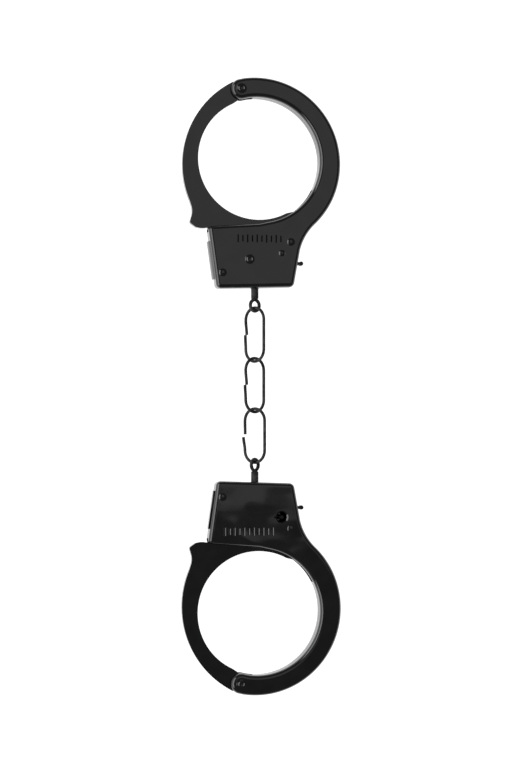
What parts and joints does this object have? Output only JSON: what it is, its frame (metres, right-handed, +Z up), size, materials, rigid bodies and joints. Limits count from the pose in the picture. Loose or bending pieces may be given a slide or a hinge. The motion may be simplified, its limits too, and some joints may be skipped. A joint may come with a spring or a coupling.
{
  "type": "handcuffs",
  "caption": "Ratchet handcuffs of pressed sheet: two cuffs with swing arms, levers and lock work, joined by swivelling eye pins and oval wire links.",
  "frame": {"origin": "bottom centre of the bounding box, on the surface the cuffs lie on", "axes": "+Y along the chain towards cuff A, +X towards the release levers, +Z up out of cuff A's front face"},
  "size_m": [0.0732, 0.2818, 0.0108],
  "materials": {
    "black_paint": "gloss black enamel over pressed steel",
    "chain_steel": "semi-gloss black plated wire",
    "pawl_steel": "blackened steel",
    "bare_steel": "bare zinc-grey steel"
  },
  "bodies": {
    "cuff_a": {"shell_front_a": "black_paint", "shell_back_a": "black_paint", "arm_rivet_a": "black_paint", "arm_washer_front_a": "bare_steel", "arm_washer_back_a": "bare_steel", "pawl_rivet_a": "black_paint", "pawl_washer_front_a": "bare_steel", "pawl_washer_back_a": "bare_steel", "case_rivet_a": "black_paint", "case_spacer_a": "bare_steel", "spring_stud_a": "black_paint", "key_post_a": "black_paint", "pawl_spring_a": "bare_steel"},
    "arm_a": {"swing_arm_a": "black_paint"},
    "pawl_a": {"pawl_a": "pawl_steel"},
    "eye_a": {"eye_pin_a": "chain_steel", "eye_washer_a": "bare_steel"},
    "cuff_b": {"shell_front_b": "black_paint", "shell_back_b": "black_paint", "arm_rivet_b": "black_paint", "arm_washer_front_b": "bare_steel", "arm_washer_back_b": "bare_steel", "pawl_rivet_b": "black_paint", "pawl_washer_front_b": "bare_steel", "pawl_washer_back_b": "bare_steel", "case_rivet_b": "black_paint", "case_spacer_b": "bare_steel", "spring_stud_b": "black_paint", "key_post_b": "black_paint", "pawl_spring_b": "bare_steel"},
    "arm_b": {"swing_arm_b": "black_paint"},
    "pawl_b": {"pawl_b": "pawl_steel"},
    "eye_b": {"eye_pin_b": "chain_steel", "eye_washer_b": "bare_steel"},
    "link_1": {"link_1": "chain_steel"},
    "link_2": {"link_2": "chain_steel"},
    "link_3": {"link_3": "chain_steel"}
  },
  "joints": [
    {"name": "swing_arm_a", "type": "hinge", "parent": "cuff_a", "child": "arm_a", "pos_m": [-0.00972, 0.1354, 0.0054], "axis": [0, 0, -1], "range_deg": [-15, 105]},
    {"name": "pawl_release_a", "type": "hinge", "parent": "cuff_a", "child": "pawl_a", "pos_m": [-0.01843, 0.051, 0.0054], "axis": [0, 0, -1], "range_deg": [0, 5], "stiffness_Nm_per_rad": 0.05, "springref_deg": -20.05, "deforming": ["pawl_spring_a"]},
    {"name": "eye_swivel_a", "type": "hinge", "parent": "cuff_a", "child": "eye_a", "pos_m": [-0.00287, 0.0441, 0.0054], "axis": [0, 1, 0], "continuous": true},
    {"name": "link_swing_1", "type": "hinge", "parent": "eye_a", "child": "link_1", "pos_m": [-0.00287, 0.03385, 0.0054], "axis": [0.8829, 0, -0.4695], "range_deg": [-60, 60]},
    {"name": "link_swing_2", "type": "hinge", "parent": "link_1", "child": "link_2", "pos_m": [-0.00287, 0.0108, 0.0054], "axis": [0.6157, 0, 0.788], "range_deg": [-60, 60]},
    {"name": "link_swing_3", "type": "hinge", "parent": "link_2", "child": "link_3", "pos_m": [-0.00287, -0.0123, 0.0054], "axis": [0.848, 0, -0.5299], "range_deg": [-60, 60]},
    {"name": "eye_swing_b", "type": "hinge", "parent": "link_3", "child": "eye_b", "pos_m": [-0.00287, -0.0354, 0.0054], "axis": [0.6947, 0, 0.7193], "range_deg": [-60, 60]},
    {"name": "cuff_swivel_b", "type": "hinge", "parent": "eye_b", "child": "cuff_b", "pos_m": [-0.00287, -0.0441, 0.0054], "axis": [0, 1, 0], "continuous": true},
    {"name": "swing_arm_b", "type": "hinge", "parent": "cuff_b", "child": "arm_b", "pos_m": [-0.00972, -0.1354, 0.0054], "axis": [0, 0, 1], "range_deg": [-15, 105]},
    {"name": "pawl_release_b", "type": "hinge", "parent": "cuff_b", "child": "pawl_b", "pos_m": [-0.01843, -0.051, 0.0054], "axis": [0, 0, 1], "range_deg": [0, 5], "stiffness_Nm_per_rad": 0.05, "springref_deg": -20.05, "deforming": ["pawl_spring_b"]}
  ]
}
